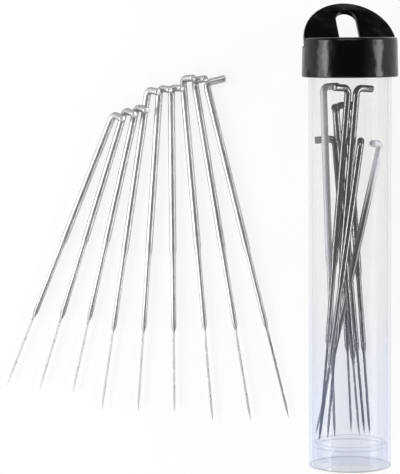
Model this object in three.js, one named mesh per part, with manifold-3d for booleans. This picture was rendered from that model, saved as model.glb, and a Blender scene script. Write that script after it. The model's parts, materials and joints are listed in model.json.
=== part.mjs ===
// Felting needle set: a clear storage tube with a hanging cap, nine needles kept inside it
// and nine more of the same three sizes laid out in a fan beside it on the table.
// Millimetres. X runs to the right, Y along the tube towards the cap, Z up from the table.

import * as THREE from 'three';
import { mergeVertices } from 'three/addons/utils/BufferGeometryUtils.js';
import Module from 'manifold-3d';

const wasm = await Module();
wasm.setup();

// Needle wire
const SHANK_DIAMETER = 1.8;
const NECK_DIAMETER = 1.3;
const CRANK_LENGTH = 5.2;
const BEND_RADIUS = 1.5;
const CRANK_CHAMFER = 0.25;
const SHOULDER_LENGTH = 2.4;

// Three-edged working blade, its point and its barbs
const BLADE_EDGE_RADIUS = 0.46;
const POINT_LENGTH = 3;
const BARB_COUNT = 6;
const FIRST_BARB = 6;
const BARB_PITCH = 2.3;
const BARB_THROAT = 1.1;
const BARB_DEPTH = 0.13;
const BARB_KICK = 0.04;
const BARB_FACE = 0.06;

// Needle lengths: blade and neck carry their shoulders, the shank runs to the top of the crank
const SHORT = { blade: 21.5, neck: 20.5, shank: 36 };
const MEDIUM = { blade: 23, neck: 20, shank: 43 };
const LONG = { blade: 26, neck: 20.5, shank: 44.5 };

// How the needles lie in the tube, in layers from the front to the back
const LAYER_GAP = 0.25;
const FRONT_LAYER = 5.15;
const BUNDLE_CLEARANCE = 0.25;
const TIP_CLEARANCE = 1;
const HEAD_ROOM = 8.1;

// Tube and base plug
const TUBE_WALL = 0.75;
const PLUG_SKIRT_WALL = 1;
const PLUG_DISC = 1.3;
const PLUG_RECESS = 5;
const PLUG_LEAD_HEIGHT = 1.2;
const PLUG_LEAD_INSET = 0.35;
const FIT_GAP = 0.25;

// Cap
const CAP_WALL = 1.45;
const CAP_DRAFT = 0.23;
const CAP_OVERLAP = 6.3;
const CAP_CEILING = 1.3;
const CAP_EDGE_RADIUS = 0.8;
const TAB_RECESS = 2.2;

// Hang tab
const TAB_THICKNESS = 1.4;
const TAB_EDGE_INSET = 0.05;
const TAB_ROOT_RADIUS = 1.1;
const TAB_RUNNING_GAP = 0.3;
const SLOT_WIDTH = 5.3;
const SLOT_TOP = 9.2;
const TAB_TURN_DEGREES = 15;
const TAB_LEAN_DEGREES = 38;

// Fan of loose needles
const FAN_TUBE_DISTANCE = 37.5;
const FAN_PITCH = 2.97;
const FAN_CENTRE_HEIGHT = 55;
const FAN_FIRST_DEGREES = -22;
const FAN_STEP_DEGREES = 4.45;
const CRANK_LEAN_DEGREES = 52;

// Facets
const ROUND_SEGMENTS = 48;
const WIRE_SIDES = 9;
const BEND_STEPS = 4;
const ARC_STEPS = 4;

const shankRadius = SHANK_DIAMETER / 2;
const neckRadius = NECK_DIAMETER / 2;
const radians = THREE.MathUtils.degToRad;

const steel = new THREE.MeshStandardMaterial({ color: '#8f9297', roughness: 0.32, metalness: 1 });
const clearPlastic = new THREE.MeshStandardMaterial({
  color: '#eef1f5', roughness: 0.06, metalness: 0, transparent: true, opacity: 0.22,
});
const blackPlastic = new THREE.MeshStandardMaterial({ color: '#0c0c0d', roughness: 0.28, metalness: 0 });

// Solids for joining and cutting

function solidOf(geometry) {
  const bare = geometry.clone();
  bare.deleteAttribute('normal');
  bare.deleteAttribute('uv');
  const merged = mergeVertices(bare, 1e-4);
  const vertProperties = new Float32Array(merged.attributes.position.array);
  const triVerts = new Uint32Array(merged.index.array);
  return new wasm.Manifold(new wasm.Mesh({ numProp: 3, vertProperties, triVerts }));
}

function geometryOf(solid) {
  const mesh = solid.getMesh();
  const geometry = new THREE.BufferGeometry();
  geometry.setAttribute('position', new THREE.BufferAttribute(mesh.vertProperties, 3));
  geometry.setIndex(new THREE.BufferAttribute(mesh.triVerts, 1));
  geometry.computeVertexNormals();
  return geometry;
}

// A profile of radius and height, turned about the Z axis
function turned(profile) {
  const points = profile.map(([radius, height]) => new THREE.Vector2(radius, height));
  const geometry = new THREE.LatheGeometry(points, ROUND_SEGMENTS);
  geometry.rotateX(Math.PI / 2);
  geometry.deleteAttribute('normal');
  geometry.deleteAttribute('uv');
  const merged = mergeVertices(geometry, 1e-4);
  merged.computeVertexNormals();
  return merged;
}

// Points of a rounded corner, turning from one heading to another about its centre
function corner(centreRadius, centreHeight, radius, fromDegrees, toDegrees) {
  return Array.from({ length: ARC_STEPS + 1 }, (_, step) => {
    const angle = radians(THREE.MathUtils.lerp(fromDegrees, toDegrees, step / ARC_STEPS));
    return [centreRadius + radius * Math.cos(angle), centreHeight + radius * Math.sin(angle)];
  });
}

// Needle: rings of points from the tip to the end of the crank, skinned into one body.
// The tip is at the origin, the shank runs up Z and the crank points along +X.

function roundRing(centre, radius, tilt = 0) {
  return Array.from({ length: WIRE_SIDES }, (_, side) => {
    const angle = (2 * Math.PI * side) / WIRE_SIDES;
    const out = radius * Math.cos(angle);
    const x = centre.x + out * Math.cos(tilt);
    const z = centre.z - out * Math.sin(tilt);
    return new THREE.Vector3(x, radius * Math.sin(angle), z);
  });
}

// A three-edged ring: every third point is a working edge, and one edge may be cut or raised
function bladeRing(height, changedEdge = -1, change = 0) {
  const perEdge = WIRE_SIDES / 3;
  const edgePoint = (edge, radius) => {
    const angle = (2 * Math.PI * edge) / 3;
    return new THREE.Vector3(radius * Math.cos(angle), radius * Math.sin(angle), height);
  };
  return Array.from({ length: WIRE_SIDES }, (_, side) => {
    const edge = Math.floor(side / perEdge);
    const along = (side % perEdge) / perEdge;
    if (along === 0) {
      return edgePoint(edge, BLADE_EDGE_RADIUS + (edge === changedEdge ? change : 0));
    }
    return edgePoint(edge, BLADE_EDGE_RADIUS).lerp(edgePoint(edge + 1, BLADE_EDGE_RADIUS), along);
  });
}

// One barb: the throat runs in from the edge, and its catching face looks towards the tip
function barbRings(index) {
  const edge = index % 3;
  const start = FIRST_BARB + index * BARB_PITCH;
  const throat = start + BARB_THROAT;
  return [
    bladeRing(start),
    bladeRing(throat, edge, -BARB_DEPTH),
    bladeRing(throat + BARB_FACE, edge, BARB_KICK),
  ];
}

function needleLength(size) {
  return size.blade + size.neck + size.shank;
}

function needleRings(size) {
  const crankHeight = needleLength(size) - shankRadius;
  const neckStart = size.blade;
  const shankStart = size.blade + size.neck;
  const onAxis = (height) => new THREE.Vector3(0, 0, height);
  const barbs = Array.from({ length: BARB_COUNT }, (_, index) => barbRings(index)).flat();
  const bend = Array.from({ length: BEND_STEPS + 1 }, (_, step) => {
    const tilt = ((Math.PI / 2) * step) / BEND_STEPS;
    const x = BEND_RADIUS * (1 - Math.cos(tilt));
    const z = crankHeight - BEND_RADIUS * (1 - Math.sin(tilt));
    return roundRing(new THREE.Vector3(x, 0, z), shankRadius, tilt);
  });
  const legPoint = (reach) => new THREE.Vector3(reach, 0, crankHeight);
  return [
    bladeRing(POINT_LENGTH),
    ...barbs,
    bladeRing(neckStart - SHOULDER_LENGTH),
    roundRing(onAxis(neckStart), neckRadius),
    roundRing(onAxis(shankStart - SHOULDER_LENGTH), neckRadius),
    roundRing(onAxis(shankStart), shankRadius),
    ...bend,
    roundRing(legPoint(CRANK_LENGTH - CRANK_CHAMFER), shankRadius, Math.PI / 2),
    roundRing(legPoint(CRANK_LENGTH), shankRadius - CRANK_CHAMFER, Math.PI / 2),
  ];
}

function needleGeometry(size) {
  const rings = needleRings(size);
  const crankEnd = new THREE.Vector3(CRANK_LENGTH, 0, needleLength(size) - shankRadius);
  const points = [new THREE.Vector3(0, 0, 0), ...rings.flat(), crankEnd];
  const last = points.length - 1;
  const ringPoint = (ring, side) => 1 + ring * WIRE_SIDES + (side % WIRE_SIDES);
  const faces = [];
  for (let side = 0; side < WIRE_SIDES; side += 1) {
    faces.push(0, ringPoint(0, side + 1), ringPoint(0, side));
    faces.push(last, ringPoint(rings.length - 1, side), ringPoint(rings.length - 1, side + 1));
    for (let ring = 0; ring < rings.length - 1; ring += 1) {
      const low = ringPoint(ring, side);
      const lowNext = ringPoint(ring, side + 1);
      const high = ringPoint(ring + 1, side);
      const highNext = ringPoint(ring + 1, side + 1);
      faces.push(low, lowNext, highNext, low, highNext, high);
    }
  }
  const geometry = new THREE.BufferGeometry().setFromPoints(points);
  geometry.setIndex(faces);
  geometry.computeVertexNormals();
  return geometry;
}

// Needles in the tube, in the tube's own frame: axis up Z, base at zero, the front towards -Y.
// Shanks that cross lie in different layers, counted from the front, and shanks that share a layer
// lie side by side, so all of them slide past one another. Head and tip are counted in shank
// diameters from the tube's axis to the right. The crank's heading is in degrees from the right,
// turning to the back.

const STORED = [
  { name: 'stored_needle_short_2', size: SHORT, layer: 0, head: 1.52, tip: -4.4, crank: 90 },
  { name: 'stored_needle_long_3', size: LONG, layer: 1, head: 0.95, tip: -3.18, crank: 40 },
  { name: 'stored_needle_long_2', size: LONG, layer: 1, head: -0.22, tip: -4.29, crank: 225 },
  { name: 'stored_needle_long_1', size: LONG, layer: 2, head: -3.74, tip: -2.14, crank: 45 },
  { name: 'stored_needle_short_1', size: SHORT, layer: 3, head: -2.1, tip: 1.38, crank: 180 },
  { name: 'stored_needle_short_3', size: SHORT, layer: 4, head: 4.3, tip: -4.94, crank: 246 },
  { name: 'stored_needle_medium_3', size: MEDIUM, layer: 5, head: -0.5, tip: 2.86, crank: -75 },
  { name: 'stored_needle_medium_2', size: MEDIUM, layer: 5, head: -2.05, tip: 2.08, crank: 268 },
  { name: 'stored_needle_medium_1', size: MEDIUM, layer: 6, head: -2, tip: 0.17, crank: 0 },
];

const plugTop = PLUG_RECESS + PLUG_DISC;
const tipHeight = plugTop + TIP_CLEARANCE;
const layerPitch = SHANK_DIAMETER + LAYER_GAP;

function storedNeedle(row) {
  const mesh = new THREE.Mesh(needleGeometry(row.size), steel);
  const axisLength = needleLength(row.size) - shankRadius;
  const lean = Math.asin(((row.head - row.tip) * SHANK_DIAMETER) / axisLength);
  const depth = row.layer * layerPitch - FRONT_LAYER;
  mesh.name = row.name;
  mesh.position.set(row.tip * SHANK_DIAMETER, depth, tipHeight);
  mesh.rotation.set(0, lean, radians(row.crank), 'XYZ');
  mesh.updateMatrix();
  return mesh;
}

// The bore is the circle round the whole bundle, with a little clearance
function bundleRadius(needles) {
  const point = new THREE.Vector3();
  const radii = needles.flatMap((needle) => {
    const positions = needle.geometry.attributes.position;
    return Array.from({ length: positions.count }, (_, index) => {
      point.fromBufferAttribute(positions, index).applyMatrix4(needle.matrix);
      return Math.hypot(point.x, point.y);
    });
  });
  return Math.max(...radii);
}

const storedNeedles = STORED.map(storedNeedle);
const boreRadius = bundleRadius(storedNeedles) + BUNDLE_CLEARANCE;
const tubeRadius = boreRadius + TUBE_WALL;
const ceilingHeight = tipHeight + needleLength(LONG) + HEAD_ROOM;
const tubeLength = ceilingHeight - FIT_GAP;
const recessFloor = ceilingHeight + CAP_CEILING;
const capTop = recessFloor + TAB_RECESS;
const capBase = tubeLength - CAP_OVERLAP;
const capRadius = tubeRadius + FIT_GAP + CAP_WALL;
const capTopRadius = capRadius - CAP_DRAFT;

function tubeMesh() {
  const geometry = turned([
    [boreRadius, 0],
    [tubeRadius, 0],
    [tubeRadius, tubeLength],
    [boreRadius, tubeLength],
    [boreRadius, 0],
  ]);
  return new THREE.Mesh(geometry, clearPlastic);
}

// Base plug: a cup pushed up into the tube, its closed face flush with the tube's lower end
function plugMesh() {
  const outer = boreRadius - FIT_GAP;
  const inner = outer - PLUG_SKIRT_WALL;
  const geometry = turned([
    [0, 0],
    [outer, 0],
    [outer, plugTop - PLUG_LEAD_HEIGHT],
    [outer - PLUG_LEAD_INSET, plugTop],
    [inner, plugTop],
    [inner, PLUG_DISC],
    [0, PLUG_DISC],
  ]);
  return new THREE.Mesh(geometry, clearPlastic);
}

// Cap: a skirt over the tube and a stepped top, lower behind the hinge so that the tab folds flush
function capMesh() {
  const inner = tubeRadius + FIT_GAP;
  const round = CAP_EDGE_RADIUS;
  const lowerRound = CAP_EDGE_RADIUS / 2;
  const shell = turned([
    [0, ceilingHeight],
    [inner, ceilingHeight],
    [inner, capBase],
    ...corner(capRadius - lowerRound, capBase + lowerRound, lowerRound, -90, 0),
    ...corner(capTopRadius - round, capTop - round, round, 0, 90),
    [0, capTop],
  ]);
  const span = 4 * capRadius;
  const step = TAB_ROOT_RADIUS + TAB_RUNNING_GAP;
  const recess = new THREE.BoxGeometry(span, span, span);
  recess.translate(0, span / 2 - step, span / 2 + recessFloor);
  const groove = new THREE.CylinderGeometry(step, step, span, ROUND_SEGMENTS / 2);
  groove.rotateZ(Math.PI / 2);
  groove.translate(0, 0, hingeHeight);
  recess.rotateZ(radians(TAB_TURN_DEGREES));
  groove.rotateZ(radians(TAB_TURN_DEGREES));
  const solid = solidOf(shell).subtract(solidOf(recess)).subtract(solidOf(groove));
  return new THREE.Mesh(geometryOf(solid), blackPlastic);
}

// Hang tab: a half disc with an arched slot, on a round root that turns in the cap's groove
const hingeHeight = recessFloor + TAB_THICKNESS / 2 + TAB_RUNNING_GAP;
const tabRadius = capTopRadius - TAB_EDGE_INSET;

function tabMesh() {
  const outline = new THREE.Shape();
  outline.absarc(0, 0, tabRadius, 0, Math.PI, false);
  outline.closePath();
  const slot = new THREE.Path();
  const arch = SLOT_WIDTH / 2;
  slot.moveTo(-arch, TAB_ROOT_RADIUS / 2);
  slot.lineTo(arch, TAB_ROOT_RADIUS / 2);
  slot.lineTo(arch, SLOT_TOP - arch);
  slot.absarc(0, SLOT_TOP - arch, arch, 0, Math.PI, false);
  outline.holes.push(slot);
  const plate = new THREE.ExtrudeGeometry(outline, {
    depth: TAB_THICKNESS, bevelEnabled: false, curveSegments: ROUND_SEGMENTS / 2,
  });
  plate.translate(0, 0, -TAB_THICKNESS / 2);
  const rootLength = 2 * Math.sqrt(tabRadius ** 2 - TAB_ROOT_RADIUS ** 2);
  const root = new THREE.CylinderGeometry(
    TAB_ROOT_RADIUS, TAB_ROOT_RADIUS, rootLength, ROUND_SEGMENTS / 2,
  );
  root.rotateZ(Math.PI / 2);
  const solid = solidOf(plate).add(solidOf(root));
  const mesh = new THREE.Mesh(geometryOf(solid), blackPlastic);
  mesh.position.z = hingeHeight;
  mesh.rotation.set(Math.PI / 2 - radians(TAB_LEAN_DEGREES), 0, radians(TAB_TURN_DEGREES), 'ZYX');
  return mesh;
}

// The closed tube, first upright and then laid on its side: it rests on its base edge and on the cap
function tubePack() {
  const pack = new THREE.Group();
  const named = { tube: tubeMesh(), base_plug: plugMesh(), cap: capMesh(), hang_tab: tabMesh() };
  Object.entries(named).forEach(([name, mesh]) => {
    mesh.name = name;
    pack.add(mesh);
  });
  pack.add(...storedNeedles);
  const rise = Math.atan((capRadius - tubeRadius) / (capBase + CAP_EDGE_RADIUS / 2));
  pack.rotation.x = rise - Math.PI / 2;
  pack.position.z = tubeRadius * Math.cos(rise);
  return pack;
}

// Fan of loose needles: each crank leans on the next needle's head, and the last one lies flat
function looseFan() {
  const fan = new THREE.Group();
  const order = [SHORT, SHORT, SHORT, MEDIUM, MEDIUM, MEDIUM, LONG, LONG, LONG];
  const names = new Map([[SHORT, 'short'], [MEDIUM, 'medium'], [LONG, 'long']]);
  order.forEach((size, index) => {
    const splay = radians(FAN_FIRST_DEGREES + index * FAN_STEP_DEGREES);
    const lean = index === order.length - 1 ? 0 : radians(CRANK_LEAN_DEGREES);
    const length = needleLength(size);
    const mesh = new THREE.Mesh(needleGeometry(size), steel);
    mesh.name = `loose_needle_${names.get(size)}_${(index % 3) + 1}`;
    mesh.rotation.set(-Math.PI / 2, 0, -lean, 'XYZ');
    mesh.position.y = -length;
    const needle = new THREE.Group();
    needle.add(mesh);
    needle.rotation.z = splay;
    needle.position.x = (index - order.length + 1) * FAN_PITCH - FAN_TUBE_DISTANCE;
    needle.position.y = FAN_CENTRE_HEIGHT + (length / 2) * Math.cos(splay);
    fan.add(needle);
  });
  fan.position.z = shankRadius;
  return fan;
}

// The origin is the middle of the set's footprint, on the table
const set = new THREE.Group();
set.add(tubePack(), looseFan());
set.updateMatrixWorld(true);
const footprint = new THREE.Box3().setFromObject(set, true);
const middle = footprint.getCenter(new THREE.Vector3());
set.position.set(-middle.x, -middle.y, -footprint.min.z);

export default set;
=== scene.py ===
"""Felting needle set: fine meshes, finishes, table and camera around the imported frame.

A clear tube with a black hanging cap keeps nine cranked needles, and nine more lie beside it in a fan.
All lengths are in metres, in the frame's own coordinates.
"""
import json
import logging
import math
from dataclasses import dataclass, field, fields, replace
from enum import Enum
from typing import Any, Iterable, Sequence

import bpy
import numpy as np
from bpy.types import ID, Material, Mesh, NodeSocket, NodeTree, Object
from mathutils import Matrix, Vector


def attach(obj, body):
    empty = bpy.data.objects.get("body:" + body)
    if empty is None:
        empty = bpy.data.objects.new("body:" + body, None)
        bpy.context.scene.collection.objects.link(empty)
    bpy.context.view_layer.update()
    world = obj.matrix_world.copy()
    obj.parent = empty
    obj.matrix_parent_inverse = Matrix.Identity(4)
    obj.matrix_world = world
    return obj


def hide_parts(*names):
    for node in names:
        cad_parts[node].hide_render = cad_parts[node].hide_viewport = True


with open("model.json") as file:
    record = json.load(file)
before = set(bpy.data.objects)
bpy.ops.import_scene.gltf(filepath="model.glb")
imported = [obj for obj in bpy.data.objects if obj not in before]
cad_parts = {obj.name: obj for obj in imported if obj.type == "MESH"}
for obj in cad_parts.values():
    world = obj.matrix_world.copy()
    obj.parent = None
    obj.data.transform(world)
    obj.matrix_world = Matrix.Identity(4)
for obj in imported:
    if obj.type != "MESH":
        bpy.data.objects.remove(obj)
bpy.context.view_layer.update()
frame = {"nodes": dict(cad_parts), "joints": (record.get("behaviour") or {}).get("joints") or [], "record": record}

MM = 0.001
TURN = 2.0 * math.pi
TOLERANCE = 1e-6
POINT_DIGITS = 7
LEVEL_DIGITS = 6

Pair = tuple[float, float]
Triple = tuple[float, float, float]
Colour = Triple

logging.basicConfig(level=logging.INFO, format="%(message)s")
log = logging.getLogger("felting_needles")


class Signal:
    """A node socket that takes part in Python arithmetic by adding Math nodes."""

    def __init__(self, sheet: "NodeSheet", socket: NodeSocket) -> None:
        """Remember the sheet to draw on and the socket that carries the value."""
        self.sheet = sheet
        self.socket = socket

    def maths(self, operation: str, *others: Any, first: Any = None) -> "Signal":
        """Add one Math node.

        Args:
            operation: The Math node's operation.
            others: Its second and third values.
            first: What takes the first place, if that isn't this signal.

        Returns:
            The node's result.
        """
        values = [self if first is None else first, *others]
        return self.sheet.node("ShaderNodeMath", dict(enumerate(values)), operation=operation)

    def __add__(self, other: Any) -> "Signal":
        """Sum."""
        return self.maths("ADD", other)

    __radd__ = __add__

    def __sub__(self, other: Any) -> "Signal":
        """Difference."""
        return self.maths("SUBTRACT", other)

    def __rsub__(self, other: Any) -> "Signal":
        """Difference, the other way round."""
        return self.maths("SUBTRACT", self, first=other)

    def __mul__(self, other: Any) -> "Signal":
        """Product."""
        return self.maths("MULTIPLY", other)

    __rmul__ = __mul__

    def __truediv__(self, other: Any) -> "Signal":
        """Quotient."""
        return self.maths("DIVIDE", other)

    def __rtruediv__(self, other: Any) -> "Signal":
        """Quotient, the other way round."""
        return self.maths("DIVIDE", self, first=other)

    def __pow__(self, other: Any) -> "Signal":
        """Power."""
        return self.maths("POWER", other)

    def __rpow__(self, other: Any) -> "Signal":
        """Power, the other way round."""
        return self.maths("POWER", self, first=other)

    def clamped(self, low: float = 0.0, high: float = 1.0) -> "Signal":
        """The value held between two limits."""
        return self.maths("MAXIMUM", low).maths("MINIMUM", high)

    def between(self, low: float, high: float) -> "Signal":
        """A smooth step from 0 at low to 1 at high."""
        inputs = {"Value": self, "From Min": low, "From Max": high}
        return self.sheet.node("ShaderNodeMapRange", inputs, interpolation_type="SMOOTHSTEP")


class NodeSheet:
    """A node tree, for a material, the world or a mesh, with one method that adds any node."""

    def __init__(self, tree: NodeTree) -> None:
        """Start from an empty tree."""
        self.tree = tree
        tree.nodes.clear()

    @staticmethod
    def _pick(sockets: Iterable[NodeSocket], key: str | int | None) -> NodeSocket:
        """Find one of a node's sockets.

        Args:
            sockets: The node's inputs or outputs.
            key: A name or a place; None stands for the first place.

        Returns:
            The socket at that place, or the first one in use with that name.
        """
        usable = list(sockets)
        if isinstance(key, str):
            return next(socket for socket in usable if socket.enabled and socket.name == key)
        return usable[key or 0]

    def node(self, kind: str, inputs: dict | None = None, output: str | int | None = None,
             stops: Sequence | None = None, **settings: Any) -> Signal:
        """Add one node of any kind.

        Args:
            kind: The node's type.
            inputs: Values or signals by socket name or place.
            output: The socket to return, by name or place.
            stops: A colour ramp's places and colours.
            settings: The node's own properties, set before its sockets.

        Returns:
            The chosen output, or the node's first input where it has no output.
        """
        made = self.tree.nodes.new(kind)
        for name, value in settings.items():
            setattr(made, name, value)
        for index, (place, colour) in enumerate(stops or ()):
            ramp = made.color_ramp.elements
            element = ramp[index] if index < len(ramp) else ramp.new(place)
            element.position = place
            element.color = colour
        for key, value in (inputs or {}).items():
            socket = self._pick(made.inputs, key)
            if isinstance(value, Signal):
                self.tree.links.new(value.socket, socket)
            else:
                socket.default_value = value
        return Signal(self, self._pick(made.outputs if made.outputs else made.inputs, output))

    def outputs(self, signal: Signal, name: str) -> Signal:
        """Another output of the node that a signal comes from."""
        return Signal(self, self._pick(signal.socket.node.outputs, name))

    def noise(self, vector: Signal, scale: float, detail: float = 2.0,
              roughness: float = 0.5) -> Signal:
        """Fractal noise over a vector, from about 0 to 1."""
        inputs = {"Vector": vector, "Scale": scale, "Detail": detail, "Roughness": roughness}
        return self.node("ShaderNodeTexNoise", inputs, "Fac")

    def blend(self, share: Signal, low: Colour, high: Colour) -> Signal:
        """A colour between two, by a share."""
        stops = [(0.0, (*low, 1.0)), (1.0, (*high, 1.0))]
        return self.node("ShaderNodeValToRGB", {"Fac": share}, "Color", stops)

    def over(self, share: Signal, under: Signal, colour: Colour) -> Signal:
        """A colour laid over another by a share."""
        inputs = {"Factor": share, "A": under, "B": (*colour, 1.0)}
        return self.node("ShaderNodeMix", inputs, "Result", data_type="RGBA")

    def stretched(self, vector: Signal, by: Sequence[float]) -> Signal:
        """A vector multiplied along each axis."""
        return self.node("ShaderNodeVectorMath", {0: vector, 1: by}, operation="MULTIPLY")

    def bump(self, height: Signal, strength: float, distance: float) -> Signal:
        """A normal raised by a height."""
        inputs = {"Height": height, "Strength": strength, "Distance": distance}
        return self.node("ShaderNodeBump", inputs, "Normal")

    def principled(self, inputs: dict) -> Signal:
        """A Principled shader."""
        return self.node("ShaderNodeBsdfPrincipled", inputs, "BSDF")


def new_material(name: str) -> tuple[Material, NodeSheet]:
    """An empty node material.

    Args:
        name: The material's name.

    Returns:
        The material and the sheet to draw its nodes on.
    """
    material = bpy.data.materials.new(name)
    material.use_nodes = True
    return material, NodeSheet(material.node_tree)


class WireData(str, Enum):
    """Names of the attributes that a needle's path carries into its mesh."""

    CENTRE = "centre"
    ANGLE = "angle"
    ALONG = "along"
    RADIUS = "wire_radius"
    BLADE = "blade_share"
    EDGE = "edge_radius"
    NOTCH = "notch"
    NOTCH_EDGE = "notch_edge"
    PLACE = "wire_place"


@dataclass(frozen=True)
class NeedleSteel:
    """Drawn wire: fine lengthwise lines, faint tarnish, and a darker end towards the tip that is painted shade.

    The steel runs from dull to bright along its drawn lines and in tarnished clouds. Below the dark
    end it turns to a darker colour, painted shade, over a fade on both sides; there the ground blade is also
    rougher.
    """

    name: str
    bright: Colour
    dull: Colour
    # Colour of the darker end towards the tip: painted shade.
    ground: Colour
    smooth: float
    rough: float
    line_depth: float = 0.18
    line_height: float = 0.02 * MM
    line_frequency: Triple = (5200.0, 5200.0, 70.0)
    line_range: Pair = (0.25, 0.75)
    line_share: float = 0.55
    tarnish_scale: float = 260.0
    tarnish_range: Pair = (0.3, 0.7)
    tarnish_share: float = 0.45
    tarnish_rough: float = 0.08
    stain_range: Pair = (0.55, 0.8)
    stain_cover: float = 0.3
    dark_end: float = 24.0 * MM
    dark_fade: float = 6.0 * MM
    dark_cover: float = 0.75
    dark_rough: float = 0.1
    pale_rough: float = 0.0
    rough_limits: Pair = (0.1, 0.7)
    # Darkens the steel's grazing reflection: painted shade at the wire's outlines.
    edge_tint: float = 1.0

    def material(self) -> Material:
        """Draw the steel on the wire's own straightened coordinates.

        Returns:
            The node material.
        """
        material, sheet = new_material(self.name)
        place = sheet.node("ShaderNodeAttribute", output="Vector", attribute_name=WireData.PLACE.value)
        along = sheet.node("ShaderNodeSeparateXYZ", {0: place}, "Z")
        drawn = sheet.noise(sheet.stretched(place, self.line_frequency), scale=1.0, detail=3.0)
        cloud = sheet.noise(place, self.tarnish_scale, detail=4.0, roughness=0.6)
        ground = 1.0 - along.between(self.dark_end - self.dark_fade, self.dark_end + self.dark_fade)
        lines = drawn.between(*self.line_range) * self.line_share
        shade = lines + cloud.between(*self.tarnish_range) * self.tarnish_share
        steel = sheet.blend(shade.clamped(), self.dull, self.bright)
        # The darker end towards the tip is painted shade, added to the real tarnish stains.
        stain_and_shade = cloud.between(*self.stain_range) * self.stain_cover + ground * self.dark_cover
        roughness = drawn * self.rough + cloud * self.tarnish_rough + ground * self.dark_rough
        roughness = roughness + (1.0 - ground) * self.pale_rough + self.smooth
        shader = sheet.principled({
            "Base Color": sheet.over(stain_and_shade.clamped(), steel, self.ground),
            "Metallic": 1.0,
            "Roughness": roughness.clamped(*self.rough_limits),
            # A dark Specular Tint darkens the grazing reflection: painted shade along the wire's outlines.
            "Specular Tint": (self.edge_tint, self.edge_tint, self.edge_tint, 1.0),
            "Normal": sheet.bump(drawn, self.line_depth, self.line_height),
        })
        sheet.node("ShaderNodeOutputMaterial", {"Surface": shader})
        return material


BRIGHT_STEEL = NeedleSteel(
    name="bright_steel",
    bright=(0.74, 0.73, 0.715), dull=(0.45, 0.445, 0.43), ground=(0.24, 0.24, 0.235),
    smooth=0.34, rough=0.12, edge_tint=0.1,
)
# The needles in the tube: the fan's steel drawn darker, painted shade of the tube round them.
SHADED_STEEL = NeedleSteel(
    name="shaded_steel",
    bright=(0.19, 0.185, 0.19), dull=(0.13, 0.128, 0.13), ground=(0.12, 0.122, 0.13),
    smooth=0.15, rough=0.06, line_depth=0.015, edge_tint=0.2,
)
PALE_STEEL = replace(
    SHADED_STEEL, name="pale_steel",
    bright=(0.56, 0.57, 0.59), dull=(0.44, 0.45, 0.47), ground=(0.17, 0.17, 0.18),
    dark_end=34.0 * MM, dark_fade=22.0 * MM, dark_cover=1.0, pale_rough=0.5,
)
PALE_HEAD_STEEL = replace(
    PALE_STEEL, name="pale_head_steel",
    bright=(0.78, 0.79, 0.82), dull=(0.6, 0.61, 0.64), ground=(0.15, 0.15, 0.155),
    dark_end=66.0 * MM, dark_fade=9.0 * MM,
)
SINGLE_STEELS = {"stored_needle_long_1": PALE_STEEL, "stored_needle_short_3": PALE_HEAD_STEEL}


@dataclass(frozen=True)
class BlackPlastic:
    """Moulded black plastic with a soft gloss, shallow sinks, flow marks and fine scuffs."""

    name: str = "black_cap"
    deep: Colour = (0.0016, 0.0015, 0.0014)
    worn: Colour = (0.006, 0.006, 0.0065)
    grain_scale: float = 2600.0
    grain_share: float = 0.01
    flow_scale: float = 160.0
    flow_range: Pair = (0.55, 0.8)
    flow_wear: float = 0.3
    scuff_frequency: Triple = (900.0, 3800.0, 3800.0)
    scuff_range: Pair = (0.66, 0.74)
    scuff_wear: float = 0.5
    scuff_rough: float = 0.12
    sink_scale: float = 270.0
    sink_depth: float = 0.22 * MM
    smooth: float = 0.14
    rough: float = 0.1
    rough_limits: Pair = (0.08, 0.6)
    gloss_level: float = 0.3

    def material(self) -> Material:
        """Draw the plastic on the piece's own coordinates.

        Returns:
            The node material.
        """
        material, sheet = new_material(self.name)
        where = sheet.node("ShaderNodeTexCoord", output="Object")
        grain = sheet.noise(where, self.grain_scale, detail=2.0)
        flow = sheet.noise(where, self.flow_scale, detail=5.0, roughness=0.6)
        sinks = sheet.noise(where, self.sink_scale, detail=1.0)
        scratches = sheet.noise(sheet.stretched(where, self.scuff_frequency), scale=1.0, detail=2.0)
        scuff = scratches.between(*self.scuff_range)
        wear = scuff * self.scuff_wear + flow.between(*self.flow_range) * self.flow_wear
        roughness = flow * self.rough + scuff * self.scuff_rough + self.smooth
        shader = sheet.principled({
            "Base Color": sheet.blend(wear.clamped(), self.deep, self.worn),
            "Roughness": roughness.clamped(*self.rough_limits),
            "Specular IOR Level": self.gloss_level,
            "Normal": sheet.bump(sinks + grain * self.grain_share, 1.0, self.sink_depth),
        })
        sheet.node("ShaderNodeOutputMaterial", {"Surface": shader})
        return material


@dataclass(frozen=True)
class RingMark:
    """A painted dark ring round the tube's axis: shade where a rim of the clear plastic, seen through the wall,
    bends the light.
    """

    height: float
    half_width: float
    cover: float


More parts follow.
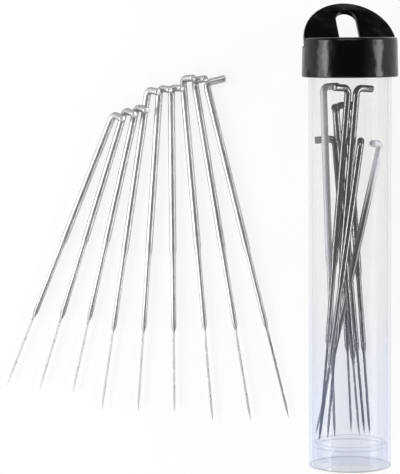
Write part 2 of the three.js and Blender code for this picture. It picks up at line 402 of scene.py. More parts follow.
@dataclass(frozen=True)
class ClearPlastic:
    """Clear plastic: see-through face on, greyer where the wall is seen edge on, with painted dark rings at its
    rims and a painted bluish reflection towards the base.
    """

    name: str
    axis: "TubeAxis"
    marks: tuple[RingMark, ...]
    pale: Colour = (0.50, 0.50, 0.49)
    # Bluish colour towards the base: a painted reflection of a bluish light.
    tinted: Colour = (0.42, 0.49, 0.71)
    # Colour of the painted dark rings where rims bend the light.
    marked: Colour = (0.20, 0.22, 0.25)
    face_cover: float = 0.055
    rim_cover: float = 0.4
    rim_power: float = 4.0
    tint_cover: float = 0.04
    tint_low: float = 14.0 * MM
    tint_high: float = 59.0 * MM
    line_frequency: Triple = (1500.0, 12.0, 1500.0)
    line_range: Pair = (0.5, 0.72)
    line_cover: float = 0.012
    line_rough: float = 0.06
    haze_scale: float = 90.0
    haze_range: Pair = (0.45, 0.8)
    haze_cover: float = 0.008
    haze_rough: float = 0.1
    smooth: float = 0.05
    rough_limits: Pair = (0.03, 0.4)
    refraction: float = 1.5

    def material(self) -> Material:
        """Draw the plastic as a mix of a see-through and a glossy shader.

        Returns:
            The node material.
        """
        material, sheet = new_material(self.name)
        where = sheet.node("ShaderNodeTexCoord", output="Object")
        up = self.axis.matrix.col[2].to_3d()
        along = sheet.node("ShaderNodeVectorMath", {0: where, 1: up}, "Value", operation="DOT_PRODUCT")
        height = along - self.axis.base.dot(up)
        facing = sheet.node("ShaderNodeLayerWeight", {"Blend": 0.5}, "Facing")
        drawn = sheet.noise(sheet.stretched(where, self.line_frequency), scale=1.0, detail=2.0)
        lines = drawn.between(*self.line_range)
        cloud = sheet.noise(where, self.haze_scale, detail=4.0, roughness=0.6)
        haze = cloud.between(*self.haze_range)
        # Towards the base the plastic turns bluish and less clear: a painted reflection of a bluish light.
        low = 1.0 - height.between(self.tint_low, self.tint_high)
        rim = facing ** self.rim_power
        cover = rim * self.rim_cover + lines * self.line_cover + haze * self.haze_cover
        cover = cover + low * self.tint_cover + self.face_cover
        colour = sheet.blend(low, self.pale, self.tinted)
        # Painted dark rings where the rims seen through the wall bend the light.
        for mark in self.marks:
            apart = (height - mark.height).maths("ABSOLUTE")
            near = 1.0 - apart.between(0.5 * mark.half_width, mark.half_width)
            cover = cover + near * mark.cover
            colour = sheet.over(near, colour, self.marked)
        roughness = haze * self.haze_rough + lines * self.line_rough + self.smooth
        glossy = sheet.principled({
            "Base Color": colour,
            "Roughness": roughness.clamped(*self.rough_limits),
            "IOR": self.refraction,
        })
        through = sheet.node("ShaderNodeBsdfTransparent", {"Color": (1.0, 1.0, 1.0, 1.0)}, "BSDF")
        mixed = sheet.node("ShaderNodeMixShader", {0: cover.clamped(), 1: through, 2: glossy}, "Shader")
        sheet.node("ShaderNodeOutputMaterial", {"Surface": mixed})
        return material


def finished_mesh(worker: Object) -> Mesh:
    """The mesh of an object with its modifiers applied; the worker is removed.

    Args:
        worker: An object that isn't part of the set.

    Returns:
        A plain mesh.
    """
    evaluated = worker.evaluated_get(bpy.context.evaluated_depsgraph_get())
    mesh = bpy.data.meshes.new_from_object(evaluated)
    bpy.data.objects.remove(worker)
    return mesh


def linked(name: str, data: ID) -> Object:
    """Make an object and put it into the scene.

    Args:
        name: The object's name.
        data: Its mesh, curve, lamp or camera.

    Returns:
        The object, at the origin.
    """
    made = bpy.data.objects.new(name, data)
    bpy.context.scene.collection.objects.link(made)
    return made


def smooth_by_angle(mesh: Mesh, degrees: float) -> None:
    """Shade a mesh smooth, but sharp at edges that turn more than an angle."""
    mesh.shade_smooth()
    mesh.set_sharp_from_angle(angle=math.radians(degrees))


def add_piece(name: str, mesh: Mesh, material: Material, body: str, slot: str,
              *nodes: str) -> Object:
    """Put a finished mesh into the set.

    Args:
        name: The piece's name.
        mesh: Its mesh, in the frame's coordinates.
        material: Its finish.
        body: The body that it rides on.
        slot: The record's material slot; not used.
        nodes: The frame's nodes that it stands for.

    Returns:
        The piece.
    """
    mesh.name = name
    mesh.materials.clear()
    mesh.materials.append(material)
    piece = linked(name, mesh)
    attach(piece, body)
    if nodes:
        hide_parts(*nodes)
    log.info("piece %s: %d faces, rides on %s", name, len(mesh.polygons), body)
    return piece


def turned_mesh(name: str, profile: Sequence[Pair], segments: int,
                closed: bool = False) -> Mesh:
    """Turn a profile of radius and height about Z.

    Args:
        name: The mesh's name.
        profile: Radius and height of each point, with the solid on the left going along it.
        segments: Steps in a turn.
        closed: Whether the profile joins its own start; otherwise it begins and ends on the axis.

    Returns:
        A closed mesh.
    """
    points: list[Triple] = []
    rings: list[list[int]] = []
    for radius, height in profile:
        count = segments if radius > TOLERANCE else 1
        rings.append([len(points) + step for step in range(count)])
        for step in range(count):
            angle = TURN * step / segments
            points.append((radius * math.cos(angle), radius * math.sin(angle), height))
    faces: list[tuple[int, ...]] = []
    pairs = list(zip(rings, rings[1:]))
    if closed:
        pairs.append((rings[-1], rings[0]))
    for lower, upper in pairs:
        for step in range(segments):
            after = step + 1
            corners = [lower[step % len(lower)], lower[after % len(lower)],
                       upper[after % len(upper)], upper[step % len(upper)]]
            faces.append(tuple(dict.fromkeys(corners)))
    mesh = bpy.data.meshes.new(name)
    mesh.from_pydata(points, [], faces)
    mesh.validate()
    return mesh


def rounded(centre: Pair, radius: float, start: float, end: float,
            steps: int = 6) -> list[Pair]:
    """Points of an arc, from a start angle to an end angle in degrees."""
    angles = np.radians(np.linspace(start, end, steps + 1))
    return [(centre[0] + radius * math.cos(a), centre[1] + radius * math.sin(a)) for a in angles]


def node_points(node: str) -> np.ndarray:
    """Read the corner points of a frame node.

    Args:
        node: The node's name.

    Returns:
        Its separate points, one in a row.
    """
    vertices = frame["nodes"][node].data.vertices
    flat = np.empty(len(vertices) * 3)
    vertices.foreach_get("co", flat)
    return np.unique(flat.reshape(-1, 3).round(POINT_DIGITS), axis=0)


def eased(share: float) -> float:
    """A smooth step from 0 to 1."""
    return share * share * (3.0 - 2.0 * share)


def framed(origin: Vector, x: Vector, y: Vector, z: Vector) -> Matrix:
    """The matrix from a frame with an origin and three axes."""
    return Matrix.Translation(origin) @ Matrix((x, y, z)).transposed().to_4x4()


def joint(name: str) -> dict:
    """The frame's joint of that name."""
    return next(row for row in frame["joints"] if row["name"] == name)


@dataclass
class TubeAxis:
    """The tube's own frame as it lies on the table: X right, Y to the back, Z along the tube."""

    base: Vector = field(init=False)
    matrix: Matrix = field(init=False)
    length: float = field(init=False)

    def __post_init__(self) -> None:
        """Read the axis from the cap's slide and the base from the tube's end."""
        up = Vector(joint("cap_pull")["axis"]).normalized()
        right = Vector((1.0, 0.0, 0.0))
        back = up.cross(right).normalized()
        points = node_points("tube")
        middle = Vector(points.mean(axis=0))
        heights = (points - np.array(middle)) @ np.array(up)
        self.base = middle + up * float(heights.min())
        self.length = float(np.ptp(heights))
        self.matrix = framed(self.base, right, back, up)

    def measures(self, node: str) -> tuple[np.ndarray, np.ndarray]:
        """Measure a node's points in the tube's frame.

        Args:
            node: The frame's node.

        Returns:
            The points' radii from the axis and their heights above the base.
        """
        inverse = np.array(self.matrix.inverted())
        points = node_points(node) @ inverse[:3, :3].T + inverse[:3, 3]
        return np.hypot(points[:, 0], points[:, 1]), points[:, 2]

    def levels(self, node: str) -> list[float]:
        """The separate heights at which a node has points, from the lowest up."""
        heights = self.measures(node)[1].round(LEVEL_DIGITS)
        return [float(level) for level in np.unique(heights)]


class NeedleSize(Enum):
    """Blade, neck and shank lengths of the three needles of the set."""

    SHORT = (21.5 * MM, 20.5 * MM, 36.0 * MM)
    MEDIUM = (23.0 * MM, 20.0 * MM, 43.0 * MM)
    LONG = (26.0 * MM, 20.5 * MM, 44.5 * MM)

    @classmethod
    def of_node(cls, node: str) -> "NeedleSize":
        """The size that a node's name gives."""
        return cls[node.split("_")[2].upper()]


@dataclass(frozen=True)
class Station:
    """One place on a needle's path, with the wire's section there, named as in WireData."""

    x: float
    z: float
    along: float
    wire_radius: float
    blade_share: float = 0.0
    edge_radius: float = 0.0
    notch: float = 0.0
    notch_edge: int = 0


@dataclass
class Needles:
    """All needles of the set, swept along their paths by one node tree."""

    shank_radius: float = 0.9 * MM
    shank_steps: int = 6
    neck_radius: float = 0.65 * MM
    edge_radius: float = 0.40 * MM
    edge_softness: float = 0.12
    point_radius: float = 0.03 * MM
    point_length: float = 3.0 * MM
    point_steps: tuple[float, ...] = (0.0, 0.02, 0.12, 0.35, 0.65, 1.0)
    point_power: float = 0.8
    shoulder: float = 2.4 * MM
    shoulder_steps: tuple[float, ...] = (0.0, 0.25, 0.5, 0.75, 1.0)
    crank_length: float = 5.2 * MM
    bend_radius: float = 1.5 * MM
    bend_steps: int = 12
    chamfer: float = 0.3 * MM
    chamfer_profile: tuple[Pair, ...] = ((1.0, 0.0), (0.55, 0.12), (0.2, 0.45), (0.0, 1.0))
    barb_count: int = 6
    first_barb: float = 6.0 * MM
    barb_pitch: float = 2.3 * MM
    barb_throat: float = 1.1 * MM
    barb_depth: float = 0.15 * MM
    barb_profile: tuple[Pair, ...] = (
        (0.0, 0.0), (0.5, -0.45), (0.98, -1.0), (1.03, 0.3), (1.25, 0.2), (1.5, 0.0))
    sides: int = 24
    smooth_degrees: float = 38.0
    wire_span: Pair = (0.265, 0.6)
    crank_share: float = 0.85

    def barb_stations(self) -> list[Station]:
        """Lay out the barbs: a throat that runs in and a face that looks towards the tip.

        Returns:
            The barbs' stations, from the tip up.
        """
        stations = []
        for index in range(self.barb_count):
            start = self.first_barb + index * self.barb_pitch
            for place, depth in self.barb_profile:
                z = start + place * self.barb_throat
                stations.append(Station(0.0, z, z, self.neck_radius, 1.0, self.edge_radius,
                                        -depth * self.barb_depth, index % 3))
        return stations

    def stations(self, size: NeedleSize) -> list[Station]:
        """Lay out the whole path of a needle, from its tip to the end of its crank.

        Args:
            size: Which needle of the set.

        Returns:
            The stations in order, in the needle's own frame: tip at the origin, crank along +X.
        """
        blade, neck, shank = size.value
        crank_z = blade + neck + shank - self.shank_radius
        neck_end = blade + neck

        def straight(z: float, radius: float, share: float = 0.0, edge: float = 0.0) -> Station:
            """A station on the needle's straight part."""
            return Station(0.0, z, z, radius, share, edge)

        path = []
        for share in self.point_steps:
            growth = (self.edge_radius - self.point_radius) * share ** self.point_power
            edge = self.point_radius + growth
            path.append(straight(share * self.point_length, self.neck_radius, 1.0, edge))
        path += self.barb_stations()
        for share in self.shoulder_steps:
            z = blade - self.shoulder * (1.0 - share)
            path.append(straight(z, self.neck_radius, 1.0 - eased(share), self.edge_radius))
        for share in self.shoulder_steps:
            z = neck_end - self.shoulder * (1.0 - share)
            widening = (self.shank_radius - self.neck_radius) * eased(share)
            path.append(straight(z, self.neck_radius + widening))
        bend_z = crank_z - self.bend_radius
        for step in range(1, self.shank_steps):
            z = neck_end + (bend_z - neck_end) * step / self.shank_steps
            path.append(straight(z, self.shank_radius))
        for step in range(self.bend_steps + 1):
            angle = 0.5 * math.pi * step / self.bend_steps
            path.append(Station(self.bend_radius * (1.0 - math.cos(angle)),
                                bend_z + self.bend_radius * math.sin(angle),
                                bend_z + self.bend_radius * angle, self.shank_radius))
        turned = bend_z + self.bend_radius * (0.5 * math.pi - 1.0)
        for inset, shrink in self.chamfer_profile:
            x = self.crank_length - inset * self.chamfer
            path.append(Station(x, crank_z, turned + x, self.shank_radius - shrink * self.chamfer))
        return path

    def path_mesh(self, size: NeedleSize) -> Mesh:
        """Draw a line of edges through the stations.

        Args:
            size: Which needle of the set.

        Returns:
            The line as a mesh, with the sections as attributes.
        """
        stations = self.stations(size)
        mesh = bpy.data.meshes.new("needle_path")
        edges = [(index, index + 1) for index in range(len(stations) - 1)]
        mesh.from_pydata([(row.x, 0.0, row.z) for row in stations], edges, [])
        for column in fields(Station)[2:]:
            values = [float(getattr(row, column.name)) for row in stations]
            mesh.attributes.new(column.name, "FLOAT", "POINT").data.foreach_set("value", values)
        return mesh

    @staticmethod
    def sweep_tree() -> NodeTree:
        """Build the node tree that skins a path: a round wire that turns into a barbed blade.

        Returns:
            The tree, with the path, its sides, the edges' softness and the finish as inputs.
        """
        blunt_share = 0.97
        barb_reach = (0.72, 0.98)
        tree = bpy.data.node_groups.new("needle_sweep", "GeometryNodeTree")
        for name, kind in (("Path", "Geometry"), ("Sides", "Int"), ("Edge Softness", "Float"),
                           ("Finish", "Material")):
            tree.interface.new_socket(name=name, in_out="INPUT", socket_type=f"NodeSocket{kind}")
        tree.interface.new_socket(name="Needle", in_out="OUTPUT", socket_type="NodeSocketGeometry")
        sheet = NodeSheet(tree)
        path = sheet.node("NodeGroupInput", output="Path")
        sides = sheet.outputs(path, "Sides")
        softness = sheet.outputs(path, "Edge Softness")

        def stored(shape: Signal, data: WireData, value: Signal, kind: str) -> Signal:
            """A shape with a value kept on its points."""
            inputs = {"Geometry": shape, "Name": data.value, "Value": value}
            return sheet.node("GeometryNodeStoreNamedAttribute", inputs, "Geometry",
                              data_type=kind, domain="POINT")

        def read(data: WireData, kind: str = "FLOAT") -> Signal:
            """A value that the points carry."""
            return sheet.node("GeometryNodeInputNamedAttribute", {"Name": data.value}, "Attribute",
                              data_type=kind)

        position = sheet.node("GeometryNodeInputPosition")
        line = sheet.node("GeometryNodeMeshToCurve", {"Mesh": path}, "Curve")
        line = stored(line, WireData.CENTRE, position, "FLOAT_VECTOR")
        inputs = {"Resolution": sides, "Radius": MM}
        ring = sheet.node("GeometryNodeCurvePrimitiveCircle", inputs, "Curve")
        turn = sheet.node("GeometryNodeInputIndex") * TURN / sides
        ring = stored(ring, WireData.ANGLE, turn, "FLOAT")
        inputs = {"Curve": line, "Profile Curve": ring, "Fill Caps": True}
        skin = sheet.node("GeometryNodeCurveToMesh", inputs, "Mesh")

        angle = read(WireData.ANGLE)
        edge = read(WireData.EDGE)
        third = TURN / 3.0
        # A triangle's sides lie half as far from its middle as its corners do.
        flat = (angle.maths("FLOORED_MODULO", third) - third / 2.0).maths("COSINE")
        three_edged = (edge * 0.5 / flat).maths("SMOOTH_MIN", edge * blunt_share, edge * softness)
        apart = (angle - read(WireData.NOTCH_EDGE) * third).maths("COSINE")
        near_edge = apart.between(*barb_reach)
        blade = three_edged - read(WireData.NOTCH) * near_edge
        share = read(WireData.BLADE)
        radius = read(WireData.RADIUS) * (1.0 - share) + blade * share

        centre = read(WireData.CENTRE, "FLOAT_VECTOR")
        outward = sheet.node("ShaderNodeVectorMath", {0: position, 1: centre}, operation="SUBTRACT")
        outward = sheet.node("ShaderNodeVectorMath", {0: outward}, operation="NORMALIZE")
        reach = sheet.node("ShaderNodeVectorMath", {0: outward, "Scale": radius}, operation="SCALE")
        surface = sheet.node("ShaderNodeVectorMath", {0: centre, 1: reach}, operation="ADD")
        skin = sheet.node("GeometryNodeSetPosition", {"Geometry": skin, "Position": surface})
        place = sheet.node("ShaderNodeCombineXYZ", {
            "X": angle.maths("COSINE") * radius,
            "Y": angle.maths("SINE") * radius,
            "Z": read(WireData.ALONG),
        })
        skin = stored(skin, WireData.PLACE, place, "FLOAT_VECTOR")
        whole = sheet.node("GeometryNodeRealizeInstances", {"Geometry": skin})
        dressed = sheet.node(
            "GeometryNodeSetMaterial", {"Geometry": whole, "Material": sheet.outputs(path, "Finish")})
        sheet.node("NodeGroupOutput", {"Needle": dressed})
        return tree

    def swept(self, size: NeedleSize, tree: NodeTree, steel: Material) -> Mesh:
        """Skin one needle.

        Args:
            size: Which needle of the set.
            tree: The node tree that skins a path.
            steel: The needle's finish.

        Returns:
            Its mesh, in the needle's own frame.
        """
        worker = linked("worker_needle", self.path_mesh(size))
        modifier = worker.modifiers.new("sweep", "NODES")
        modifier.node_group = tree
        values = {"Sides": self.sides, "Edge Softness": self.edge_softness, "Finish": steel}
        for item in tree.interface.items_tree:
            if item.in_out == "INPUT" and item.name in values:
                modifier[item.identifier] = values[item.name]
        mesh = finished_mesh(worker)
        smooth_by_angle(mesh, self.smooth_degrees)
        return mesh

    def place(self, node: str) -> Matrix:
        """Find where a needle lies from its node's points.

        Args:
            node: The frame's node.

        Returns:
            The matrix from the needle's own frame: tip, shank along Z, crank along X.
        """
        points = node_points(node)
        crank_end = points[np.argmax(np.linalg.norm(points - points.mean(axis=0), axis=1))]
        tip = points[np.argmax(np.linalg.norm(points - crank_end, axis=1))]
        reach = np.linalg.norm(points - tip, axis=1)
        low, high = (share * reach.max() for share in self.wire_span)
        middle = points[(reach > low) & (reach < high)].mean(axis=0)
        axis = Vector(middle - tip).normalized()
        rest = points - tip
        aside = rest - np.outer(rest @ np.array(axis), np.array(axis))
        off = np.linalg.norm(aside, axis=1)
        crank = Vector(aside[off > self.crank_share * off.max()].mean(axis=0)).normalized()
        third = axis.cross(crank).normalized()
        return framed(Vector(tip), third.cross(axis), third, axis)

    def build(self, loose: Material, stored: Material,
              single: dict[str, Material]) -> None:
        """Make every needle and put it where its node lies.

        Args:
            loose: The finish of the needles in the fan.
            stored: The steel of the needles in the tube, darkened by painted shade.
            single: Nodes in the tube drawn in lighter copies of that steel.
        """
        tree = self.sweep_tree()
        for body, members in frame["record"]["behaviour"]["bodies"].items():
            for node in members:
                if "_needle_" in node:
                    steel = single.get(node, loose if node.startswith("loose") else stored)
                    mesh = self.swept(NeedleSize.of_node(node), tree, steel)
                    mesh.transform(self.place(node))
                    add_piece(f"fine_{node}", mesh, steel, body, "needle_steel", node)


@dataclass
class Tube:
    """The clear extruded tube and the moulded plug in its lower end."""

    axis: TubeAxis
    edge_round: float = 0.22 * MM
    plug_round: float = 0.45 * MM
    smooth_degrees: float = 35.0
    segments: int = 128

    def tube_mesh(self) -> Mesh:
        """Turn the tube's wall, with softened ends.

        Returns:
            Its mesh, in the tube's frame.
        """
        radii, heights = self.axis.measures("tube")
        outer, inner = float(radii.max()), float(radii.min())
        top = float(heights.max())
        soft = self.edge_round
        profile = [
            *rounded((outer - soft, soft), soft, -90, 0),
            *rounded((outer - soft, top - soft), soft, 0, 90),
            *rounded((inner + soft, top - soft), soft, 90, 180),
            *rounded((inner + soft, soft), soft, 180, 270),
        ]
        return turned_mesh("tube", profile, self.segments, closed=True)

    def plug_mesh(self) -> Mesh:
        """Turn the plug: a cup with its closed face down and a lead-in round its rim.

        Returns:
            Its mesh, in the tube's frame.
        """
        radii, heights = self.axis.measures("base_plug")
        floor, lead, top = self.axis.levels("base_plug")[1:]
        outer = float(radii.max())
        rim = radii[heights > top - TOLERANCE]
        lip, inner = float(rim.max()), float(rim.min())
        soft = self.plug_round
        small = self.edge_round
        profile = [
            (0.0, 0.0),
            *rounded((outer - small, small), small, -90, 0),
            (outer, lead),
            *rounded((lip - small, top - small), small, 15, 90),
            *rounded((inner + small, top - small), small, 90, 180),
            *rounded((inner - soft, floor + soft), soft, 0, -90),
            (0.0, floor),
        ]
        return turned_mesh("base_plug", profile, self.segments)

    def build(self, wall: Material, plug: Material) -> None:
        """Make the tube and its plug.

        Args:
            wall: The tube's finish.
            plug: The plug's finish.
        """
        for node, mesh, material, slot in (
            ("tube", self.tube_mesh(), wall, "clear_tube"),
            ("base_plug", self.plug_mesh(), plug, "clear_plug"),
        ):
            mesh.transform(self.axis.matrix)
            smooth_by_angle(mesh, self.smooth_degrees)
            add_piece(f"fine_{node}", mesh, material, "tube", slot, node)


@dataclass
class Cap:
    """The black push-on cap, stepped behind its hinge, and the hang tab that folds into the step."""

    axis: TubeAxis
    tab_thickness: float = 1.4 * MM
    tab_under: float = 0.4 * MM
    tab_bevel: float = 0.28 * MM
    tab_steps: int = 64
    slot_width: float = 5.3 * MM
    slot_top: float = 9.2 * MM
    slot_steps: int = 24
    root_radius: float = 1.1 * MM
    root_steps: int = 4
    root_segments: int = 48
    running_gap: float = 0.3 * MM
    top_round: float = 0.8 * MM
    lower_round: float = 0.4 * MM
    edge_bevel: float = 0.14 * MM
    bevel_steps: int = 3
    sharp_degrees: float = 40.0
    ceiling_gap: float = 0.5 * MM
    weld_gap: float = 0.002 * MM
    cut_span: float = 60.0 * MM
    segments: int = 128

    def hinge(self) -> Matrix:
        """Find the tab's frame from its joint.

        Returns:
            The matrix from the tab's frame: X along the hinge, Y up the plate, Z out of its front.
        """
        row = joint("tab_fold")
        along = -Vector(row["axis"]).normalized()
        lean = math.radians(-row["range_deg"][0])
        up = Vector(joint("cap_pull")["axis"]).normalized()
        back = up.cross(along).normalized()
        plate = up * math.cos(lean) + back * math.sin(lean)
        return framed(Vector(row["pos_m"]), along, plate, along.cross(plate))

    def shell_mesh(self) -> Mesh:
        """Turn the cap as it is before its top is stepped: a skirt, a top and rounded rims.

        Returns:
            Its mesh, in the tube's frame.
        """
        radii, heights = self.axis.measures("cap")
        low, top = float(heights.min()), float(heights.max())
        outer = float(radii.max())
        just_below_round = top - 1.05 * self.top_round
        top_outer = float(radii[heights > just_below_round].max())
        tube_outer = float(self.axis.measures("tube")[0].max())
        inner = float(radii[radii > tube_outer].min())
        on_wall = (radii < inner + TOLERANCE) & (radii > 0.9 * inner)
        ceiling = min(float(heights[on_wall].max()), self.axis.length + self.ceiling_gap)
        profile = [
            (0.0, ceiling),
            (inner, ceiling),
            (inner, low + self.lower_round),
            *rounded((inner + self.lower_round, low + self.lower_round), self.lower_round, 180, 270),
            *rounded((outer - self.lower_round, low + self.lower_round), self.lower_round, -90, 0),
            *rounded((top_outer - self.top_round, top - self.top_round), self.top_round, 0, 90),
            (0.0, top),
        ]
        return turned_mesh("cap_shell", profile, self.segments)

    def cutters(self) -> list[Object]:
        """Make what is taken off the cap's top: the step behind the hinge and the root's groove.

        Returns:
            The cutters as working objects, in the tube's frame.
        """
        inverse = self.axis.matrix.inverted()
        hinge = inverse @ self.hinge()
        along = hinge.col[0].to_3d()
        centre = hinge.translation
        turn = Matrix.Rotation(math.atan2(along.y, along.x), 4, "Z")
        clear = self.root_radius + self.running_gap
        floor = centre.z - self.tab_thickness / 2.0 - self.running_gap
        span = self.cut_span
        depths, levels = (-clear, span), (floor, floor + span)
        corners = [(x, y, z) for x in (-span, span) for y in depths for z in levels]
        box = bpy.data.meshes.new("step")
        sides = [(0, 1, 3, 2), (4, 6, 7, 5), (0, 4, 5, 1), (2, 3, 7, 6), (0, 2, 6, 4), (1, 5, 7, 3)]
        box.from_pydata(corners, [], sides)
        box.transform(turn)
        profile = [(0.0, -span), (clear, -span), (clear, span), (0.0, span)]
        groove = turned_mesh("groove", profile, self.root_segments)
        groove.transform(Matrix.Translation(centre) @ turn @ Matrix.Rotation(math.pi / 2.0, 4, "Y"))
        return [linked(f"worker_{mesh.name}", mesh) for mesh in (box, groove)]

    def cap_mesh(self) -> Mesh:
        """Cut the step and the groove into the cap and soften its edges.

        Returns:
            The finished cap, in the tube's frame.
        """
        worker = linked("worker_cap", self.shell_mesh())
        cutters = self.cutters()
        for cutter in cutters:
            cut = worker.modifiers.new("cut", "BOOLEAN")
            cut.operation = "DIFFERENCE"
            cut.object = cutter
            cut.solver = "EXACT"
        bevel = worker.modifiers.new("soft_edges", "BEVEL")
        bevel.width = self.edge_bevel
        bevel.segments = self.bevel_steps
        bevel.limit_method = "ANGLE"
        bevel.angle_limit = math.radians(self.sharp_degrees)
        mesh = finished_mesh(worker)
        for cutter in cutters:
            bpy.data.objects.remove(cutter)
        return mesh

    def tab_outline(self, radius: float) -> list[list[Pair]]:
        """Draw the half disc and the arched slot in it.

        Args:
            radius: The half disc's radius.

        Returns:
            Both as closed lines of points, inside the bevel.
        """
        bevel = self.tab_bevel
        disc = rounded((0.0, 0.0), radius - bevel, 0, 180, self.tab_steps)
        disc += [(-radius + bevel, -self.tab_under), (radius - bevel, -self.tab_under)]
        half = self.slot_width / 2.0 + bevel
        arch = self.slot_top - self.slot_width / 2.0
        slot = [(-half, self.root_radius / 2.0), (half, self.root_radius / 2.0)]
        slot += rounded((0.0, arch), half, 0, 180, self.slot_steps)
        return [disc, slot]

    def tab_mesh(self) -> Mesh:
        """Join the tab's plate and its round root.

        Returns:
            The hang tab, in its hinge's frame.
        """
        reach = node_points("hang_tab") @ np.array(self.hinge().inverted())[:3, :3].T
        radius = float(np.ptp(reach[:, 0])) / 2.0
        curve = bpy.data.curves.new("tab", "CURVE")
        curve.dimensions = "2D"
        curve.fill_mode = "BOTH"
        curve.extrude = self.tab_thickness / 2.0 - self.tab_bevel
        curve.bevel_depth = self.tab_bevel
        curve.bevel_resolution = self.bevel_steps
        for outline in self.tab_outline(radius):
            spline = curve.splines.new("POLY")
            spline.points.add(len(outline) - 1)
            for point, (x, y) in zip(spline.points, outline):
                point.co = (x, y, 0.0, 1.0)
            spline.use_cyclic_u = True
        plate = linked("worker_plate", finished_mesh(linked("worker_outline", curve)))
        weld = plate.modifiers.new("weld", "WELD")
        weld.merge_threshold = self.weld_gap
        length = math.sqrt(radius ** 2 - self.root_radius ** 2)
        soft = self.tab_bevel
        root = turned_mesh("root", [
            (0.0, -length),
            *rounded((self.root_radius - soft, -length + soft), soft, -90, 0, self.root_steps),
            *rounded((self.root_radius - soft, length - soft), soft, 0, 90, self.root_steps),
            (0.0, length),
        ], self.root_segments)
        root.transform(Matrix.Rotation(math.pi / 2.0, 4, "Y"))
        bar = linked("worker_root", root)
        union = plate.modifiers.new("union", "BOOLEAN")
        union.operation = "UNION"
        union.object = bar
        union.solver = "EXACT"
        mesh = finished_mesh(plate)
        bpy.data.objects.remove(bar)
        return mesh

    def build(self, plastic: Material) -> None:
        """Make the cap and its tab.

        Args:
            plastic: The finish of both.
        """
        cap = self.cap_mesh()
        cap.transform(self.axis.matrix)
        tab = self.tab_mesh()
        tab.transform(self.hinge())
        for node, mesh in (("cap", cap), ("hang_tab", tab)):
            smooth_by_angle(mesh, self.sharp_degrees)
            add_piece(f"fine_{node}", mesh, plastic, node, "black_cap", node)


@dataclass(frozen=True)
class SoftLamp:
    """A soft rectangular lamp: where it stands, how large it is and its power in watts."""

    name: str
    place: Triple
    size: Pair
    watts: float

    def build(self, aim: Vector) -> None:
        """Put the lamp into the scene.

        Args:
            aim: The point that it looks at.
        """
        data = bpy.data.lights.new(self.name, "AREA")
        data.shape = "RECTANGLE"
        data.size, data.size_y = self.size
        data.energy = self.watts
        lamp = linked(self.name, data)
        lamp.location = self.place
        lamp.rotation_euler = (aim - Vector(self.place)).to_track_quat("-Z", "Y").to_euler()


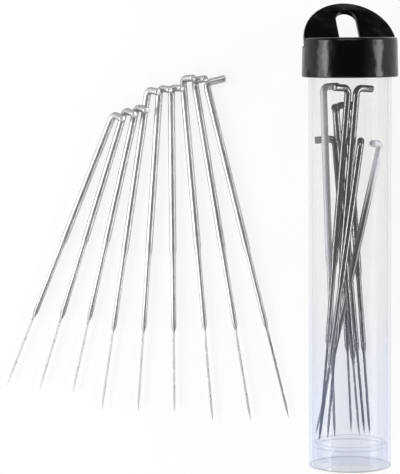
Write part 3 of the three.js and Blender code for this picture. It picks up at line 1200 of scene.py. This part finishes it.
@dataclass
class Table:
    """The pale table, the soft lights over it and the camera that looks down on it."""

    axis: TubeAxis
    photo_height: float = 474.0
    focal_pixels: float = 2194.0
    sensor_height: float = 36.0
    clip_start: float = 0.01
    eye_height: float = 560.0 * MM
    eye_along: float = 103.5 * MM
    aim: Pair = (0.72 * MM, -0.21 * MM)
    table_half: float = 0.9
    table_drop: float = 0.05 * MM
    shadow_share: float = 0.16
    pale_wall: Colour = (0.62, 0.62, 0.66)
    dark_wall: Colour = (0.05, 0.05, 0.05)
    side_range: Pair = (0.45, 1.0)
    paper: Colour = (0.9, 0.9, 0.9)
    paper_rough: float = 0.8
    clear_bounces: int = 32
    lamp_aim: Triple = (0.0, 0.0, 0.01)
    lamps: tuple[SoftLamp, ...] = (
        SoftLamp("left_lamp", (-0.54, 0.0, 0.31), (0.6, 0.14), 2.8),
        SoftLamp("left_low_lamp", (-0.6, 0.0, 0.17), (0.6, 0.12), 1.0),
        SoftLamp("right_lamp", (0.62, 0.0, 0.19), (0.6, 0.2), 3.2),
        SoftLamp("back_lamp", (0.0, 0.55, 0.62), (0.6, 0.4), 2.4),
        SoftLamp("front_lamp", (-0.1, -0.6, 0.6), (0.6, 0.3), 2.0),
    )

    def table(self) -> None:
        """Lay a white table that keeps soft shadows and shows white to the camera and to gloss."""
        half = self.table_half
        mesh = bpy.data.meshes.new("table_top")
        corners = [(-half, -half), (half, -half), (half, half), (-half, half)]
        mesh.from_pydata([(x, y, -self.table_drop) for x, y in corners], [], [(0, 1, 2, 3)])
        top = linked("table_top", mesh)
        material, sheet = new_material("table_white")
        path = sheet.node("ShaderNodeLightPath", output="Is Camera Ray")
        seen = path + sheet.outputs(path, "Is Glossy Ray") + sheet.outputs(path, "Is Transmission Ray")
        paper = sheet.principled({"Base Color": (*self.paper, 1.0), "Roughness": self.paper_rough})
        inputs = {"Color": (1.0, 1.0, 1.0, 1.0), "Strength": 1.0}
        white = sheet.node("ShaderNodeEmission", inputs, "Emission")
        share = seen.clamped() * (1.0 - self.shadow_share)
        mixed = sheet.node("ShaderNodeMixShader", {0: share, 1: paper, 2: white}, "Shader")
        sheet.node("ShaderNodeOutputMaterial", {"Surface": mixed})
        mesh.materials.append(material)

    def lights(self) -> None:
        """Light the table: a world that is dark overhead and pale at the sides, and the lamps."""
        world = bpy.data.worlds.new("studio")
        world.use_nodes = True
        sheet = NodeSheet(world.node_tree)
        direction = sheet.node("ShaderNodeTexCoord", output="Generated")
        aside = sheet.node("ShaderNodeSeparateXYZ", {0: direction}, "X").maths("ABSOLUTE")
        room = sheet.blend(aside.between(*self.side_range), self.dark_wall, self.pale_wall)
        pale = sheet.node("ShaderNodeBackground", {"Color": room, "Strength": 1.0})
        sheet.node("ShaderNodeOutputWorld", {"Surface": pale})
        bpy.context.scene.world = world
        for lamp in self.lamps:
            lamp.build(Vector(self.lamp_aim))

    def camera(self) -> None:
        """Set the camera over the table, turned so that the tube stands upright in the picture."""
        data = bpy.data.cameras.new("camera")
        data.sensor_fit = "VERTICAL"
        data.sensor_height = self.sensor_height
        data.lens = self.focal_pixels * self.sensor_height / self.photo_height
        data.clip_start = self.clip_start
        middle = self.axis.matrix @ Vector((0.0, 0.0, self.axis.length / 2.0))
        up = self.axis.matrix.col[2].to_3d()
        base = self.axis.base
        eye = Vector((base.x, base.y + self.eye_along, middle.z + self.eye_height))
        forward = (Vector((*self.aim, middle.z)) - eye).normalized()
        plane = up.cross(middle - eye)
        upright = forward.cross(plane).normalized()
        if upright.dot(up) < 0.0:
            upright = -upright
        camera = linked("camera", data)
        camera.matrix_world = framed(eye, forward.cross(upright), upright, -forward)
        bpy.context.scene.camera = camera

    def build(self) -> None:
        """Set the table, the lights and the camera."""
        self.camera()
        self.table()
        self.lights()
        scene = bpy.context.scene
        scene.view_settings.view_transform = "Standard"
        scene.cycles.transparent_max_bounces = self.clear_bounces


def main() -> None:
    """Build the set, piece by piece."""
    axis = TubeAxis()
    Table(axis).build()
    single = {node: steel.material() for node, steel in SINGLE_STEELS.items()}
    Needles().build(BRIGHT_STEEL.material(), SHADED_STEEL.material(), single)
    # Painted dark rings at the tube's end and at the plug's base, lead-in and rim.
    end_ring = RingMark(height=0.0, half_width=0.35 * MM, cover=0.3)
    wall = ClearPlastic("clear_tube", axis, (end_ring,))
    lead, rim = axis.levels("base_plug")[-2:]
    marks = (
        RingMark(height=0.0, half_width=0.2 * MM, cover=0.23),
        RingMark(height=lead, half_width=0.25 * MM, cover=0.16),
        RingMark(height=rim, half_width=0.3 * MM, cover=0.1),
    )
    plug = ClearPlastic("clear_plug", axis, marks, face_cover=0.02, rim_cover=0.3, tint_cover=0.02)
    Tube(axis).build(wall.material(), plug.material())
    Cap(axis).build(BlackPlastic().material())


if __name__ == "__main__":
    main()
